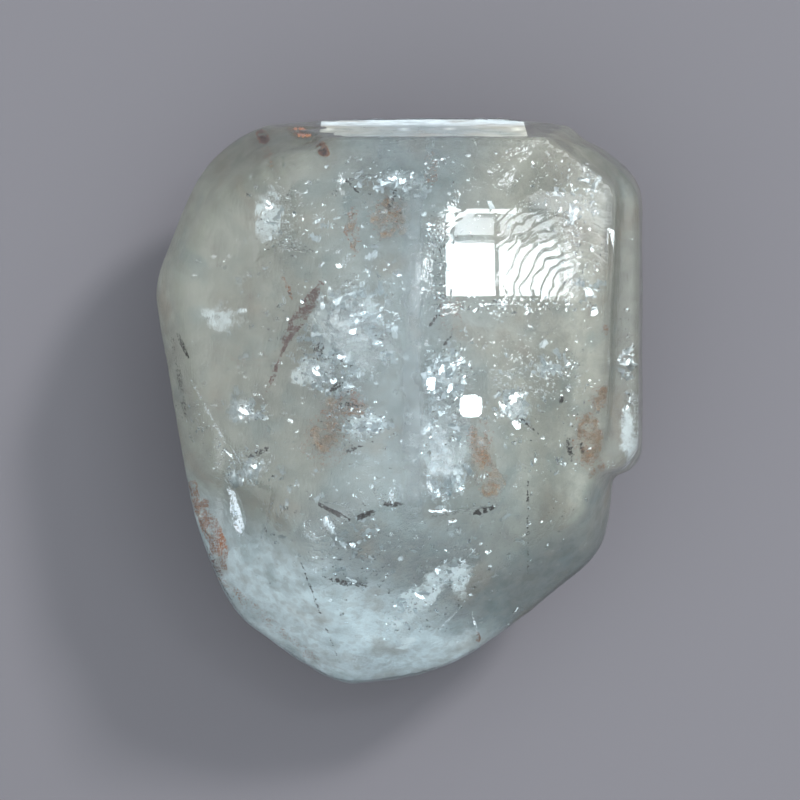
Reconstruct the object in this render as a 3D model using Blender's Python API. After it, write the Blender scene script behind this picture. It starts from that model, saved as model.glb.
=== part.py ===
"""A water-worn crystal of rough topaz, lying on its back on the flat it would come to rest on.

Units are metres and +Z is up. +Y runs along the prism, towards the end that is closed by the flat
cleavage face, and the tapered, broken end points along -Y. The origin is at the middle of the
stone's box, at the height of the surface it lies on.

The stone is one solid. Every face is given by the way it looks: an azimuth counted from +X towards
+Y, a tilt from straight up (0 looks up, 90 sideways, over 90 downwards), and a point it runs through.
"""

import math

import bmesh
import bpy
from mathutils import Vector, noise

MM = 0.001

# Driving dimensions
CORE = Vector((0, 0, 12.5 * MM))  # the point inside the crystal that its faces are reached from
LEDGE_CORE = Vector((16.4 * MM, 5.0 * MM, 10.5 * MM))  # the same for the ledge

WEAR = 70.0  # a higher number leaves the edges between faces sharper
LEDGE_WEAR = 45.0
SPHERE_DETAIL = 7  # subdivisions of the sphere that is pressed onto the faces
LEDGE_DETAIL = 6
KEPT_SHARE = 0.05  # of the pressed sphere's triangles
LEDGE_KEPT_SHARE = 0.05
WAVE_HEIGHT = 0.004  # unevenness of the worn faces, as a share of the distance to the core
WAVE_PITCH = 230.0  # waves per metre, as the noise counts them
CUT_SIDE = 60 * MM  # the blocks that cut the flats are wider than the stone

# Sides, as name: (azimuth, distance of the widest line from the origin in mm, height of that line
# in mm, tilt of the side above the line, tilt below it)
SIDES = {
    "top_right_corner": (64.6, 27.3, 12.0, 78, 112),
    "top_right_chamfer": (50.0, 25.7, 12.5, 74, 114),
    "right": (-2.5, 17.35, 11.0, 82, 114),
    "right_low_corner": (-18.4, 19.25, 10.5, 70, 118),
    "lower_right": (-51.5, 19.65, 12.0, 58, 116),
    "foot_right": (-67.0, 21.75, 10.5, 54, 126),
    "foot": (-86.0, 22.6, 9.0, 58, 122),
    "foot_left": (-121.0, 22.4, 8.5, 58, 120),
    "lower_left": (-131.0, 21.95, 9.5, 58, 118),
    "left_low_corner": (-157.4, 19.7, 11.0, 62, 113),
    "left": (189.7, 18.05, 12.5, 68, 117),
    "upper_left": (158.0, 21.95, 13.5, 66, 112),
    "top_left_chamfer": (135.0, 24.5, 13.0, 64, 110),
    "top_left_corner": (111.0, 24.75, 12.0, 70, 108),
}

# The other faces, as name: (azimuth, tilt, a point on it in mm)
FACES = {
    "front_left": (184, 29, (-4.4, 4, 24.6)),
    "front_middle": (182, 4, (-1.2, 0, 25.2)),
    "front_right": (8, 13, (2.6, 2, 25.0)),
    "front_top": (86, 13, (0, 12.5, 24.4)),
    "foot_slope": (-88, 41, (-2.0, -9.4, 23.4)),
    "foot_slope_left": (-144, 54, (-8.4, -11.0, 20.6)),
    "foot_slope_right": (-52, 37, (4.2, -9.8, 22.6)),
    "lower_right_slope": (-24, 30, (9.4, -7.0, 22.0)),
    "back": (0, 180, (0, 0, -0.5)),
    "back_left": (170, 149, (-9.5, 0, 0)),
    "back_right": (-13, 147, (9.2, 0, 0)),
    "back_top": (97, 143, (0, 13.5, 0)),
    "back_foot": (-82, 148, (0, -11.0, 0)),
    "back_corner": (-138, 154, (-6.5, -8.0, 0)),
}

# Faces cut dead flat, the same way: the cleavage, and the ground that the back lies on
FLATS = {
    "cleavage": (90, 81, (0, 23.25, 5)),
    "ground": (90, 180, (0, 0, 0)),
}

# The ledge on the right, a slice of the crystal that grew beside it: its sides and its other faces
LEDGE_SIDES = {
    "outer": (0, 19.4, 10.5, 84, 112),
    "shoulder_low": (28, 25.1, 11.0, 80, 114),
    "shoulder": (52, 26.1, 11.5, 78, 114),
    "top_end": (88, 21.6, 11.0, 84, 104),
    "inner": (180, -13.6, 10.0, 90, 90),
    "end": (-80, 8.9, 10.0, 84, 100),
    "end_corner": (-35, 18.45, 10.0, 80, 108),
}
LEDGE_FACES = {
    "ledge_front": (4, 34, (17.2, 4, 17.4)),
    "ledge_back": (0, 140, (15.5, 0, 5.0)),
}

# Scars of chips that broke away, as name: (azimuth and tilt of the way out, point of its middle in mm,
# radius of the ball that fits the hollow in mm, depth in mm)
SCARS = {
    "shell": (35, 22, (12.4, 13.2, 22.3), 16.0, 0.6),
    "foot_chip": (-58, 50, (4.6, -18.2, 16.4), 4.6, 0.45),
    "tip_chip": (-84, 66, (1.6, -21.8, 12.6), 5.5, 0.5),
    "corner_chip": (104, 58, (-7.8, 20.75, 20.3), 3.4, 0.8),
    "bevel_chip": (206, 60, (-13.7, -8.4, 16.0), 8.0, 0.3),
}


def looking(azimuth, tilt):
    """The unit vector that looks along an azimuth, tilted from straight up, both in degrees."""
    around, down = math.radians(azimuth), math.radians(tilt)
    return Vector((math.cos(around) * math.sin(down), math.sin(around) * math.sin(down), math.cos(down)))


def planes_of(faces):
    """(outward normal, point in metres) of each face."""
    return [(looking(azimuth, tilt), Vector(point) * MM) for azimuth, tilt, point in faces.values()]


def side_planes(sides):
    """The same for sides: each is one plane above its widest line and one below it."""
    planes = []
    for azimuth, reach, height, tilt_above, tilt_below in sides.values():
        widest = (looking(azimuth, 90) * reach + Vector((0, 0, height))) * MM
        planes += [(looking(azimuth, tilt_above), widest), (looking(azimuth, tilt_below), widest)]
    return planes


def worn_block(name, planes, core, wear, detail):
    """A sphere round core, pressed onto the planes. Where two of them meet, the edge comes out rounded."""
    mesh = bpy.data.meshes.new(name)
    shape = bmesh.new()
    bmesh.ops.create_icosphere(shape, subdivisions=detail, radius=1)
    distances = [(normal, normal.dot(point - core)) for normal, point in planes]
    for vert in shape.verts:
        way = vert.co.normalized()
        nearness = [way.dot(normal) / distance for normal, distance in distances]
        reach = sum(near**wear for near in nearness if near > 0) ** (-1 / wear)
        wave = 1 + WAVE_HEIGHT * noise.noise(way * reach * WAVE_PITCH)
        vert.co = core + way * reach * wave
    shape.to_mesh(mesh)
    shape.free()
    block = bpy.data.objects.new(name, mesh)
    bpy.context.scene.collection.objects.link(block)
    return block


def thin_out(block, share):
    """Leaves few triangles on the flat faces and more along the worn edges."""
    block.modifiers.new("fewer_triangles", "DECIMATE").ratio = share


def helper(block):
    """Marks a shape that is joined to the stone or cut from it, and isn't a solid of its own."""
    block.hide_render = True
    block.display_type = "WIRE"
    return block


def combine(stone, other, operation):
    boolean = stone.modifiers.new(f"{operation.lower()}_{other.name}", "BOOLEAN")
    boolean.operation = operation
    boolean.object = other


def flat_cutter(name, normal, point):
    """A block that stands on the plane, on the side that is cut away."""
    bpy.ops.mesh.primitive_cube_add(size=CUT_SIDE, location=point + normal * CUT_SIDE / 2)
    block = bpy.context.object
    block.name = name
    block.rotation_euler = normal.to_track_quat("Z", "X").to_euler()
    return helper(block)


def scar_cutter(name, azimuth, tilt, middle, radius, depth):
    """A ball that leaves a shell-shaped hollow of that depth."""
    centre = Vector(middle) * MM + looking(azimuth, tilt) * (radius - depth) * MM
    bpy.ops.mesh.primitive_ico_sphere_add(subdivisions=5, radius=radius * MM, location=centre)
    bpy.context.object.name = name
    return helper(bpy.context.object)


def put_origin_in_the_middle(stone):
    """Moves the stone and everything that shapes it, so that the stone's box is centred on the origin."""
    bpy.context.view_layer.update()
    finished = stone.evaluated_get(bpy.context.evaluated_depsgraph_get())
    corners = [Vector(corner) for corner in finished.bound_box]
    lowest = [min(corner[axis] for corner in corners) for axis in range(2)]
    highest = [max(corner[axis] for corner in corners) for axis in range(2)]
    anchor = bpy.data.objects.new("middle_of_the_box", None)
    bpy.context.scene.collection.objects.link(anchor)
    for piece in [stone] + [block for block in bpy.data.objects if block.hide_render]:
        piece.parent = anchor
    anchor.location = (-(lowest[0] + highest[0]) / 2, -(lowest[1] + highest[1]) / 2, 0)


def topaz_material():
    material = bpy.data.materials.new("clear_topaz")
    material.use_nodes = True
    shader = material.node_tree.nodes["Principled BSDF"]
    shader.inputs["Base Color"].default_value = (0.72, 0.80, 0.76, 1)
    shader.inputs["Metallic"].default_value = 0
    shader.inputs["Roughness"].default_value = 0.12
    shader.inputs["IOR"].default_value = 1.62
    shader.inputs["Transmission Weight"].default_value = 1
    return material


def main():
    for old in list(bpy.data.objects):
        bpy.data.objects.remove(old)

    stone = worn_block("rough_topaz", side_planes(SIDES) + planes_of(FACES), CORE, WEAR, SPHERE_DETAIL)
    stone.data.materials.append(topaz_material())
    thin_out(stone, KEPT_SHARE)

    ledge_planes = side_planes(LEDGE_SIDES) + planes_of(LEDGE_FACES)
    ledge = worn_block("ledge", ledge_planes, LEDGE_CORE, LEDGE_WEAR, LEDGE_DETAIL)
    thin_out(ledge, LEDGE_KEPT_SHARE)
    combine(stone, helper(ledge), "UNION")

    for name, numbers in SCARS.items():
        combine(stone, scar_cutter(name, *numbers), "DIFFERENCE")
    for name, (normal, point) in zip(FLATS, planes_of(FLATS)):
        combine(stone, flat_cutter(name, normal, point), "DIFFERENCE")
    put_origin_in_the_middle(stone)


main()
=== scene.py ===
"""The looks of the rough topaz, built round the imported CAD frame. Units are metres and +Z is up.

The crystal lies on its back and the camera looks straight down on it. What is seen in or on the crystal
is placed by its pixel in the 800 x 800 photograph: the camera's ray through that pixel is followed to
the surface, bent there as topaz bends light, and followed on to the wanted depth.
"""

import functools
import itertools
import math
import random

import bmesh
import bpy
import numpy as np
from mathutils import Matrix, Vector, noise
from mathutils.bvhtree import BVHTree


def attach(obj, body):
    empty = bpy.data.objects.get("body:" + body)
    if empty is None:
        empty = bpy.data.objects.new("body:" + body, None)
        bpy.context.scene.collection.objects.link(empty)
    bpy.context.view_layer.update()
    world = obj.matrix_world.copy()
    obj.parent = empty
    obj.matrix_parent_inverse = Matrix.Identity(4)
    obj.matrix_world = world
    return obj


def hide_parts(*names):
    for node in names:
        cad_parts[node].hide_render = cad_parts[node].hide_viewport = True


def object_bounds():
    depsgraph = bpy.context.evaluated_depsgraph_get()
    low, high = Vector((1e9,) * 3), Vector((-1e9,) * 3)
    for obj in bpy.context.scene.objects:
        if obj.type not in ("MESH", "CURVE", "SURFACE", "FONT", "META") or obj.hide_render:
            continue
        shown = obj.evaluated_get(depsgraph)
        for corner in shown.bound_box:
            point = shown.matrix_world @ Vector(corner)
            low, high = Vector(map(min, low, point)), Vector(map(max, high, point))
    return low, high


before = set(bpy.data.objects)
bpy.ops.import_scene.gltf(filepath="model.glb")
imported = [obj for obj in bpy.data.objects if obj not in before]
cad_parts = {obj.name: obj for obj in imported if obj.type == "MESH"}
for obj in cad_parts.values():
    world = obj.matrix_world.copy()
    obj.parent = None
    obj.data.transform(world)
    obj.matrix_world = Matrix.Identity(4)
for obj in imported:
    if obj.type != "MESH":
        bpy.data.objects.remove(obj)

MM = 0.001
CAD_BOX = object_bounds()

# The camera
PICTURE = 800  # pixels along each side of the photograph
LENS = 200.0
SENSOR = 36.0
CAMERA_HEIGHT = 367 * MM
PIXELS_PER_RADIAN = LENS / SENSOR * PICTURE

# The crystal
IOR = 1.62
VOXEL = 0.34 * MM
CLEAVAGE = (90, 81)  # azimuth and tilt of the flat cleavage face
SKIN = 0.4 * MM  # what is sealed in the crystal stays at least this deep

# The lights, as azimuth and elevation
KEY = (46, 42)
GLOW = (50, 22)  # the brightest part of the sky


def unit(azimuth, tilt):
    """The unit vector that looks along an azimuth, tilted from straight up, both in degrees."""
    around, down = math.radians(azimuth), math.radians(tilt)
    return Vector((math.cos(around) * math.sin(down), math.sin(around) * math.sin(down), math.cos(down)))


def smooth_step(low, high, values):
    """0 at low, 1 at high and smooth between them. low may be the greater."""
    share = np.clip((values - low) / (high - low), 0, 1)
    return share * share * (3 - 2 * share)


def noise_at(points, pitch, stretch=(1, 1, 1), seed=0.0):
    """Smooth noise from about -1 to 1 at each point, with bumps of the size pitch."""
    scaled = points / (pitch * np.array(stretch)) + seed
    return np.array([noise.noise(point) for point in scaled.tolist()])


# ---- where a pixel of the photograph is


def bent(way, normal, ratio):
    """The way of a ray behind a surface that it meets from the normal's side, or None if it's mirrored."""
    cosine = -way.dot(normal)
    left = 1 - ratio**2 * (1 - cosine**2)
    return way * ratio + normal * (ratio * cosine - math.sqrt(left)) if left > 0 else None


def mirrored(way, normal):
    """The way of a ray once a mirror with this normal has turned it back."""
    return way - 2 * way.dot(normal) * normal


MILK_DEPTH = (0.65, 5.5)  # how deep the cloudy heart lies at the rim and behind the front, in mm
FRONT = (8, 21)  # the heights between which one turns into the other, in mm
FOOT = (-6, -13)  # the heart comes nearer to the front between these Y,
RIGHT_EDGE = (8.5, 13.5)  # between these X
TOP_EDGE = (14, 20)  # and between these Y, all in mm


def heart_depth(x, y, z):
    """How far the cloudy heart lies below the skin at a place, in mm."""
    deeper = smooth_step(*FRONT, z / MM) * (1 - 0.5 * smooth_step(*FOOT, y / MM))
    deeper *= (1 - 0.8 * smooth_step(*RIGHT_EDGE, x / MM)) * (1 - 0.6 * smooth_step(*TOP_EDGE, y / MM))
    return MILK_DEPTH[0] + (MILK_DEPTH[1] - MILK_DEPTH[0]) * deeper


class Sight:
    """What the camera sees through the crystal's surface."""

    def __init__(self, stone):
        shape = bmesh.new()
        shape.from_mesh(stone.data)
        self.tree = BVHTree.FromBMesh(shape)
        shape.free()

    def surface(self, pixel):
        """(point, normal, way of the camera's ray) where the pixel meets the surface, or None."""
        half = PICTURE / 2
        ray = Vector((pixel[0] - half, half - pixel[1], -PIXELS_PER_RADIAN)).normalized()
        point, normal, _, _ = self.tree.ray_cast(Vector((0, 0, CAMERA_HEIGHT)), ray)
        return (point, normal, ray) if point else None

    def place(self, pixel, depth):
        """(point, way of the ray) seen inside at the pixel, depth mm in but before the cloudy heart."""
        point, normal, ray = self.surface(pixel)
        way = bent(ray, normal, 1 / IOR)
        depth = min(depth, 0.8 * float(heart_depth(*point)))
        return point + way * depth * MM, way

    def inside(self, point, margin=SKIN):
        """Whether the point lies in the crystal, at least that deep."""
        hit, normal, _, _ = self.tree.find_nearest(point)
        return (point - hit).dot(normal) < -margin

    def way_out(self, point, way):
        """The way of a ray from inside once it has left the crystal, or None if it's mirrored back."""
        _, normal, _, _ = self.tree.ray_cast(point, way)
        return bent(way, -normal, IOR) if normal else None

    def facing(self, place, way, light, tilts, steps=(12, 4)):
        """The facing, of those in a range of tilts, with which a wall mirrors the light to the camera."""
        best, target = (-2, unit(light[0], tilts[0])), unit(light[0], 90 - light[1])
        for azimuth in range(0, 360, steps[0]):
            for tilt in range(*tilts, steps[1]):
                normal = unit(azimuth, tilt)
                if -way.dot(normal) < 0.1:
                    continue
                out = self.way_out(place, mirrored(way, normal))
                if out and out.dot(target) > best[0]:
                    best = (out.dot(target), normal)
        return best[1]


# ---- the crystal's surface


def even_mesh(name, source, voxel):
    """A piece with the shape of the source mesh, in even, fine faces."""
    piece = bpy.data.objects.new(name, source.copy())
    bpy.context.scene.collection.objects.link(piece)
    remesh = piece.modifiers.new("even_faces", "REMESH")
    remesh.mode = "VOXEL"
    remesh.voxel_size = voxel
    smooth_out(piece, 5)
    return piece


def smooth_out(piece, times):
    """Smooths the piece and makes its modifiers part of its mesh."""
    piece.modifiers.new("no_steps", "SMOOTH").iterations = times
    finished = piece.evaluated_get(bpy.context.evaluated_depsgraph_get())
    mesh = bpy.data.meshes.new_from_object(finished)
    piece.modifiers.clear()
    piece.data = mesh


def read_mesh(mesh):
    points = np.empty(len(mesh.vertices) * 3)
    mesh.vertices.foreach_get("co", points)
    normals = np.empty(len(mesh.vertices) * 3)
    mesh.vertex_normals.foreach_get("vector", normals)
    return points.reshape(-1, 3), normals.reshape(-1, 3)


def write_mesh(mesh, points):
    mesh.vertices.foreach_set("co", points.ravel())
    mesh.update()


def fill_box(mesh, box):
    """Stretches the mesh by the little that smoothing took, so that it fills the box again."""
    points, _ = read_mesh(mesh)
    low, high = np.array(box[0]), np.array(box[1])
    first, last = points.min(axis=0), points.max(axis=0)
    write_mesh(mesh, low + (points - first) * (high - low) / (last - first))


# Pixels are (across, down) in the photograph. A turn, in degrees, is counterclockwise as it is seen there.
DOME_AT = (505, 258)  # pixel of the middle of the gently domed spot that mirrors the window
DOME_FACING = (36, 12)  # the azimuth and tilt that it faces
DOME_HALF = (6.4, 10.3, 5.8)  # how far it reaches to the left, to the right and along, in mm
DOME_RADII = (80.0, 100.0)  # how round it is across and along, in mm
DOME_RISE = 0.03  # how far its middle stands out, in mm
CALM_AT = (505, 256)  # the smoothest part, which mirrors the window
CALM_HALF = (4.5, 3.6)  # it reaches this far across and along, in mm
CALM_FADE = 1.2 * MM  # the way from there to the full ripples
ARCS_AT = (580, 300)  # where the fine grooves on its right half run round
ARCS_PITCH = 0.72 * MM
ARCS_DEPTH = 0.25  # against the grain of the etched skin
RIPPLES_AT = (560, 246)  # where the blow fell that split off the shell
RIPPLE_PITCH = 1.05
RIDGE = (0.95, 0.75, -9.5, 17.0)  # the ridge along the prism: middle and half width in X, ends in Y, in mm
RIDGE_RISE = 0.03  # heights in mm, as the two below
RIPPLE_RISE = 0.016
PANE_RISE = 0.004  # of the unevenness on the right half of the part that mirrors the window
FRONT_ABOVE = 6 * MM  # the front's chips reach down to this height
FLAT_BELOW = 0.15 * MM  # what is lower than this lies flat on the floor
DISHES = {  # round chips, as name: (pixel, radius in mm, depth in mm)
    "foot_dish": ((457, 631), 2.1, 0.35),
    "left_dish": ((233, 512), 1.6, 0.22),
    "corner_dish": ((300, 128), 1.5, 0.3),
    "side_dish": ((200, 440), 1.7, 0.2),
    "low_dish": ((400, 655), 1.6, 0.2),
    "top_dish": ((352, 185), 1.1, 0.18),
}
TERRACES = {  # lower-lying parts with sharp edges, as name: (corner pixels in turn, depth in mm)
    "left_step": (
        ((169, 378), (219, 423), (251, 480), (275, 490), (262, 545), (215, 560), (176, 480)), 0.26),
    "left_patch": (((255, 262), (250, 222), (292, 184), (298, 232)), 0.12),
    "top_notch": (((280, 112), (320, 112), (321, 134), (300, 140), (284, 130)), 0.30),
    "right_step": (((552, 470), (600, 452), (604, 560), (560, 600)), 0.16),
}


def outside(points, corners):
    """How far each point lies outside a polygon, less than 0 inside. All in two dimensions."""
    distance = np.full(len(points), np.inf)
    within = np.zeros(len(points), bool)
    for first, second in zip(corners, corners[1:] + corners[:1]):
        along = second - first
        share = np.clip((points - first) @ along / (along @ along), 0, 1)
        distance = np.minimum(distance, np.linalg.norm(points - first - share[:, None] * along, axis=1))
        above = (first[1] > points[:, 1]) != (second[1] > points[:, 1])
        with np.errstate(divide="ignore", invalid="ignore"):
            crossing = first[0] + (points[:, 1] - first[1]) * along[0] / along[1]
        within ^= above & (points[:, 0] < crossing)
    return np.where(within, -distance, distance)


def dome_frame(stone):
    """(middle, across, along, facing) of the domed spot."""
    facing = unit(*DOME_FACING)
    across = Vector((0, 1, 0)).cross(facing).normalized()
    return Sight(stone).surface(DOME_AT)[0], across, facing.cross(across), facing


def shape_dome(stone, dome):
    """Gives the spot that mirrors the window its even dome."""
    points, normals = read_mesh(stone.data)
    middle, across, along, facing = (np.array(vector) for vector in dome)
    u, v, height = ((points - middle) @ way / MM for way in (across, along, facing))
    shape = DOME_RISE - u**2 / (2 * DOME_RADII[0]) - v**2 / (2 * DOME_RADII[1])
    left, right, half_along = DOME_HALF
    reach = ((u / np.where(u > 0, right, left)) ** 4 + (v / half_along) ** 4) ** 0.25
    share = smooth_step(1.0, 0.62, reach) * smooth_step(0.88, 0.95, normals @ facing)
    points += np.outer((shape - height) * share * MM, facing)
    write_mesh(stone.data, points)


def mirrored_by_dome(sight, dome, pixel, distance):
    """The point that the dome mirrors to the camera at the pixel, that far from the dome."""
    middle, across, along, facing = dome
    point, _, ray = sight.surface(pixel)
    u, v = (point - middle).dot(across), (point - middle).dot(along)
    normal = facing + across * u / (DOME_RADII[0] * MM) + along * v / (DOME_RADII[1] * MM)
    return point + mirrored(ray, normal.normalized()) * distance


def lively_share(points, spot):
    """0 on the calm part that mirrors the window, rising to 1 round it."""
    beyond = np.abs(points - spot)[:, :2] - np.array(CALM_HALF) * MM
    return smooth_step(0, CALM_FADE, beyond.max(axis=1))


def ridge_rise(points, normals):
    """The low band that runs along the front."""
    x, y, _ = points.T / MM
    middle, half, low, high = RIDGE
    wander = 0.25 * noise_at(points * (0, 1, 0), 6 * MM, seed=4.0)
    across = smooth_step(half, half * 0.45, np.abs(x - middle - wander))
    along = smooth_step(low - 1, low + 1, y) * smooth_step(high + 1, high - 1, y)
    return RIDGE_RISE * across * along * smooth_step(0.4, 0.85, normals[:, 2])


def ripple_rise(points, sight):
    """Ripples like a shell's, on the far side of the blow and a little way from it."""
    x, y, _ = points.T / MM
    blow = np.array(sight.surface(RIPPLES_AT)[0]) / MM
    away = np.hypot(x - blow[0], (y - blow[1]) * 0.9)
    ripples = np.sin(away * math.tau / RIPPLE_PITCH + 1.6 * noise_at(points, 2.2 * MM, seed=6.0))
    between = smooth_step(8.4, 7.4, away) * smooth_step(4.4, 5.4, away)
    return RIPPLE_RISE * ripples * between * smooth_step(-2.0, 2.0, x - blow[0] + y - blow[1])


def chip_depth(points, sight):
    """How deep the round chips and the lower-lying parts are."""
    found = np.zeros(len(points))
    for pixel, radius, depth in DISHES.values():
        spot = np.array(sight.surface(pixel)[0])
        near = np.linalg.norm(points - spot, axis=1) / (radius * MM)
        near += 0.12 * noise_at(points, 0.8 * MM, seed=radius)
        found += depth * np.clip(1 - near**2, 0, 1) ** 0.8
    for corners, depth in TERRACES.values():
        spots = [np.array(sight.surface(pixel)[0][:2]) / MM for pixel in corners if sight.surface(pixel)]
        edge = outside(points[:, :2] / MM, spots) + 0.10 * noise_at(points, 0.9 * MM, seed=depth)
        found += depth * smooth_step(0.15, -0.40, edge) * (points[:, 2] > FRONT_ABOVE)
    return found


def skin_rise(points, normals, lively):
    """Flutes along the sides, slow swells and an etched grain, and a rougher back."""
    z = points[:, 2] / MM
    sides = 1 - smooth_step(0.9, 0.98, np.abs(normals[:, 1]))
    rise = 0.012 * noise_at(points, 0.8 * MM, (1, 14, 1)) * sides * lively
    rise += 0.040 * noise_at(points, 3.6 * MM, (1, 1.6, 1), seed=9.7) * lively
    rise += 0.018 * noise_at(points, 1.1 * MM, seed=2.2) * lively
    back = smooth_step(11, 7, z) * smooth_step(0.2, 0.5, z)
    return rise + 0.12 * noise_at(points, 1.5 * MM, seed=5.5) * back


def sculpt(stone, sight):
    """Gives the smooth crystal its ridge, ripples, chips and etched grain."""
    points, normals = read_mesh(stone.data)
    spot = sight.surface(CALM_AT)[0]
    lively = lively_share(points, spot)
    right_half = smooth_step(-0.6, 1.6, (points[:, 0] - spot.x) / MM) * (1 - lively)
    rise = PANE_RISE * noise_at(points, 0.9 * MM, seed=7.7) * right_half
    rise += ridge_rise(points, normals) + ripple_rise(points, sight) + skin_rise(points, normals, lively)
    rise -= chip_depth(points, sight)
    points = points + normals * (rise * MM)[:, None]
    points[:, 2] = np.where(points[:, 2] < FLAT_BELOW, 0, points[:, 2])
    write_mesh(stone.data, points)


# ---- what is sealed in the crystal

MIRROR_TILTS = (5, 50)  # how steep a crack wall that mirrors the glow may be
# Crack walls that mirror the glow: (pixel, depth in mm, half sizes in pixels, clockwise turn, waviness)
BRIGHT_SPOTS = {
    "square": ((471, 406), 0.8, (11, 11), 0, 0.0),
    "feather": ((344, 356), 3.0, (9, 5), 25, 0.04),
    "feather_small": ((352, 331), 3.0, (4, 3), 0, 0.06),
    "feather_low": ((316, 368), 2.5, (5, 4), 0, 0.10),
    "left_of_feather": ((316, 372), 2.0, (6, 3), 40, 0.10),
    "below_feather": ((334, 381), 2.0, (4, 4), 0, 0.10),
    "top_dots": ((403, 181), 1.5, (4, 4), 0, 0.04),
    "top_dots_left": ((392, 178), 1.5, (6, 3), 20, 0.08),
    "left_patch": ((268, 206), 2.0, (6, 6), 0, 0.04),
    "left_patch_dot": ((295, 214), 1.0, (3, 4), 0, 0.02),
    "dot_upper": ((338, 266), 1.0, (3, 3), 0, 0.02),
    "dot_left": ((302, 301), 1.0, (2.5, 2.5), 0, 0.02),
    "fan_slit": ((441, 370), 2.0, (2.5, 7), 20, 0.02),
    "fan_drop": ((430, 384), 2.0, (5, 8), 10, 0.03),
    "fan_slit_low": ((450, 387), 2.0, (2.5, 6), 20, 0.02),
    "fan_arm": ((458, 362), 2.0, (3, 9), 50, 0.06),
    "small_fan": ((513, 399), 2.0, (4, 9), 35, 0.06),
    "small_fan_left": ((502, 404), 2.0, (2.5, 6), -30, 0.05),
    "small_fan_low": ((517, 425), 2.0, (3, 6), -40, 0.05),
    "left_slit": ((233, 508), 0.3, (5, 17), -8, 0.05),
    "left_slit_low": ((237, 527), 0.3, (5, 9), -20, 0.05),
    "step_line": ((228, 453), 1.0, (2, 9), -50, 0.05),
    "left_step": ((253, 466), 1.5, (5, 3), 20, 0.05),
    "left_glint": ((197, 428), 1.0, (3, 3), 0, 0.02),
    "window_left": ((448, 217), 1.0, (2.5, 6), 10, 0.03),
    "ledge_slit": ((614, 240), 0.8, (2.5, 13), -4, 0.03),
    "ledge_glint": ((628, 362), 1.0, (3, 5), 30, 0.04),
    "cluster": ((588, 292), 1.5, (5, 4), 20, 0.08),
    "cluster_low": ((594, 312), 1.5, (4, 6), 10, 0.08),
    "comb": ((244, 409), 2.0, (10, 6), 0, 0.10),
    "tip_upper": ((438, 570), 2.5, (3, 6), 10, 0.06),
    "tip_middle": ((420, 596), 2.5, (7, 4), 30, 0.08),
    "tip_low": ((410, 628), 2.0, (4, 6), 20, 0.08),
    "foot": ((352, 544), 2.0, (3, 4), 0, 0.05),
    "foot_right": ((488, 552), 2.0, (3, 3), 0, 0.04),
    "middle_line": ((440, 511), 2.0, (14, 2), 3, 0.04),
    "middle_line_end": ((453, 521), 2.0, (5, 3), 0, 0.04),
}
# Cleavage cracks lie square to the prism, so they are seen nearly edge on: (pixel, depth, half sizes)
CLEAVAGE_CRACKS = {
    "dark_line_left": ((350, 512), 5.0, (2.6, 0.7)),
    "dark_line_right": ((462, 510), 5.0, (3.0, 1.0)),
    "short_line": ((350, 583), 5.0, (1.7, 0.9)),
    "top_line": ((360, 176), 5.0, (1.6, 1.2)),
    "upper_line": ((300, 250), 9.0, (2.0, 1.6)),
}
SHEET_HALF = 0.02 * MM  # half a crack's or a film's thickness


def shard(rng):
    """The corners of a broken piece's outline, as angles and reaches round its middle."""
    count = rng.randint(6, 9)
    return [(math.tau * (number + rng.uniform(-0.3, 0.3)) / count, rng.uniform(0.6, 1.1))
            for number in range(count)]


def shard_reach(corners, angle):
    """How far the straight-edged outline reaches at an angle."""
    again = (corners[0][0] + math.tau, corners[0][1])
    for (first, near), (second, far) in zip(corners, corners[1:] + [again]):
        turn = (angle - first) % math.tau
        gap = second - first
        if turn <= gap:
            return near * far * math.sin(gap) / (near * math.sin(turn) + far * math.sin(gap - turn))
    return 1.0


def kept_inside(inside, middle, way, reach, share):
    """(share, point): the share of the way that is left once the point lies in the crystal."""
    while share > 0.03 and not inside(middle + way * MM * share * reach):
        share *= 0.93
    return share, middle + way * MM * share * reach


def wave_at(spot, rib, seed):
    """How high a sheet's waves are at a spot: broad ones, small ones and fine ribs."""
    wave = noise.noise(spot / (3.2 * MM) + Vector((seed, 0, 0)))
    wave += 0.25 * noise.noise(spot / (0.9 * MM) + Vector((0, seed, 0)))
    return wave + 0.10 * noise.noise(rib)


def sheet_faces(rings, spokes):
    """The faces of a sheet whose front and rear are rings of points, joined round the rim."""
    turns = [[turn * spokes + spoke for spoke in range(spokes)] for turn in range(2 * rings)]
    front, rear = turns[:rings], turns[rings:]
    faces = [front[0], rear[0][::-1]]
    strips = list(zip(front, front[1:])) + list(zip(rear[1:], rear)) + [(front[-1], rear[-1])]
    for inner, outer in strips:
        for spoke in range(spokes):
            after = (spoke + 1) % spokes
            faces.append([inner[after], inner[spoke], outer[spoke], outer[after]])
    return faces


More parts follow.
